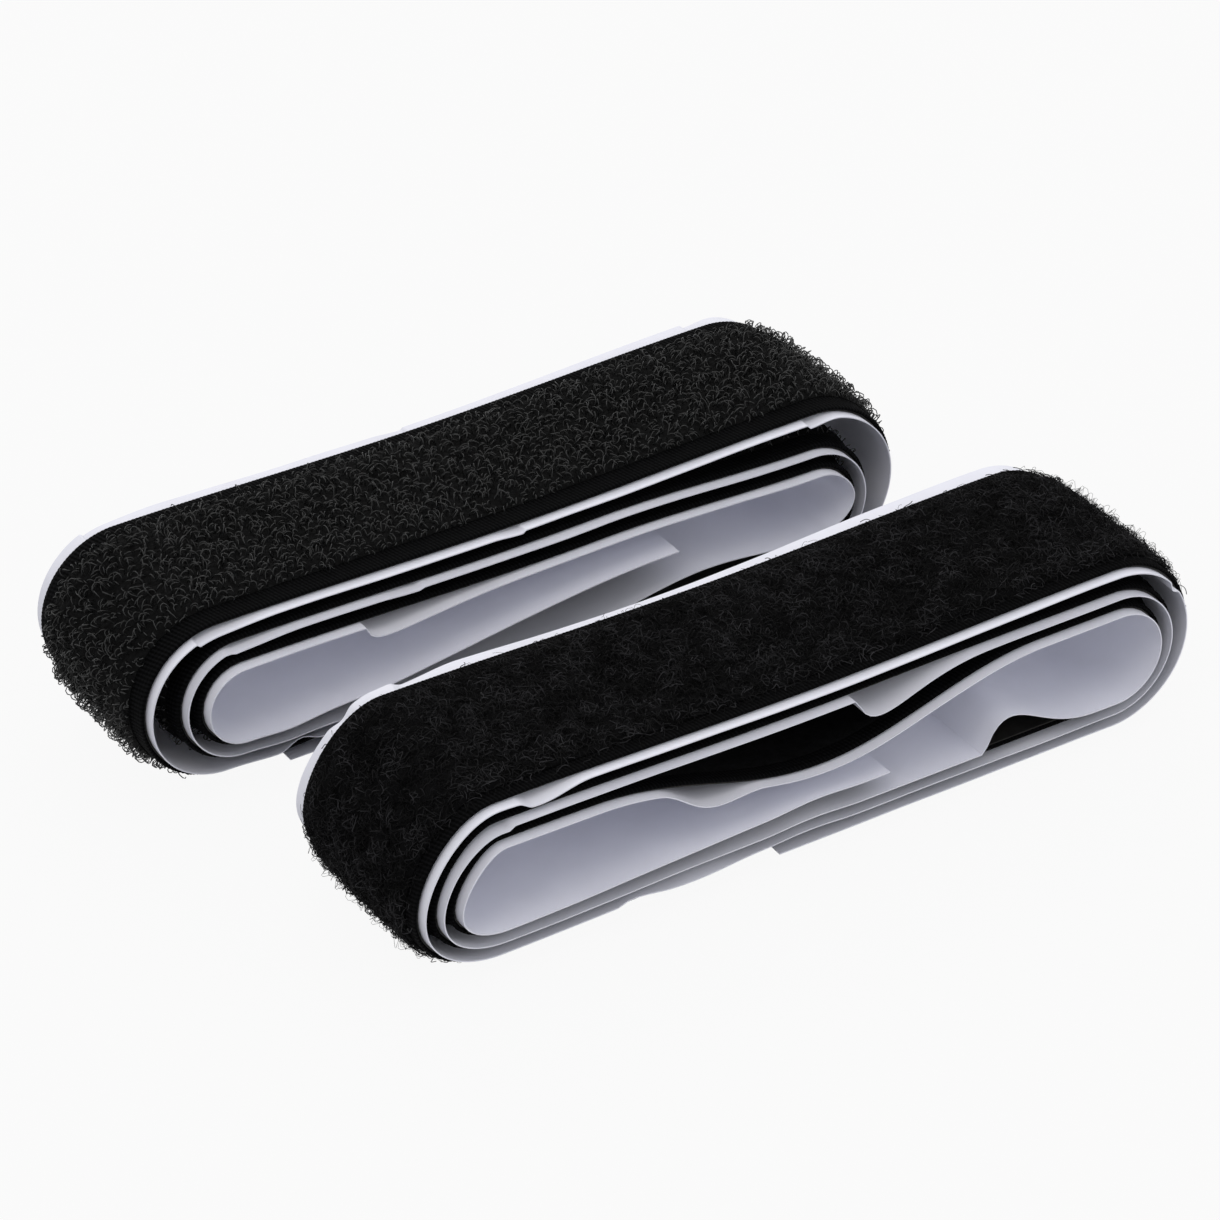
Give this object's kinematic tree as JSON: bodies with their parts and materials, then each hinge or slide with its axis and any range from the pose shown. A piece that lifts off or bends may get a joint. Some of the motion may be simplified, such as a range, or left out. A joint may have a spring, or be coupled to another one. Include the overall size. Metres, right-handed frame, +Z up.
{
  "type": "hook and loop tape roll",
  "caption": "Self-adhesive black hook tape and loop tape, each wound flat into an oblong roll with white release paper inside its turns and a loose tail.",
  "frame": {"origin": "on the table, under the middle of the pair of rolls", "axes": "+X along the rolls, towards the end where each strip folds over onto its tail; +Y across the tape, from the loop roll to the hook roll; +Z up"},
  "size_m": [0.097, 0.0628, 0.0213],
  "materials": {
    "hook_ground": "woven nylon ground with ribbed selvedges",
    "hooks": "stiff nylon monofilament hooks, satin",
    "loop_ground": "woven nylon ground with ribbed selvedges",
    "loop_pile": "soft napped loop pile, matt",
    "adhesive": "clear pressure-sensitive coat over black cloth",
    "release_paper": "white coated release paper, soft sheen"
  },
  "bodies": {
    "hook_tail": {"hook_tail_ground": "hook_ground", "hook_tail_hooks": "hooks", "hook_tail_adhesive": "adhesive", "hook_tail_liner": "release_paper"},
    "hook_roll": {"hook_roll_ground": "hook_ground", "hook_roll_hooks": "hooks", "hook_roll_crooks": "hooks", "hook_roll_adhesive": "adhesive", "hook_roll_liner": "release_paper"},
    "loop_tail": {"loop_tail_ground": "loop_ground", "loop_tail_pile": "loop_pile", "loop_tail_adhesive": "adhesive", "loop_tail_liner": "release_paper"},
    "loop_roll": {"loop_roll_ground": "loop_ground", "loop_roll_pile": "loop_pile", "loop_roll_adhesive": "adhesive", "loop_roll_liner": "release_paper"}
  },
  "joints": [
    {"name": "hook_unroll", "type": "hinge", "parent": "hook_tail", "child": "hook_roll", "pos_m": [0.04046, 0.0193, 0.01067], "axis": [0, 1, 0], "range_deg": [0, 180]},
    {"name": "rolls_apart", "type": "slide", "parent": "hook_tail", "child": "loop_tail", "axis": [0, -1, 0], "range_m": [-0.01, 0.06]},
    {"name": "loop_unroll", "type": "hinge", "parent": "loop_tail", "child": "loop_roll", "pos_m": [0.04866, -0.0189, 0.00977], "axis": [0, 1, 0], "range_deg": [0, 180]}
  ]
}
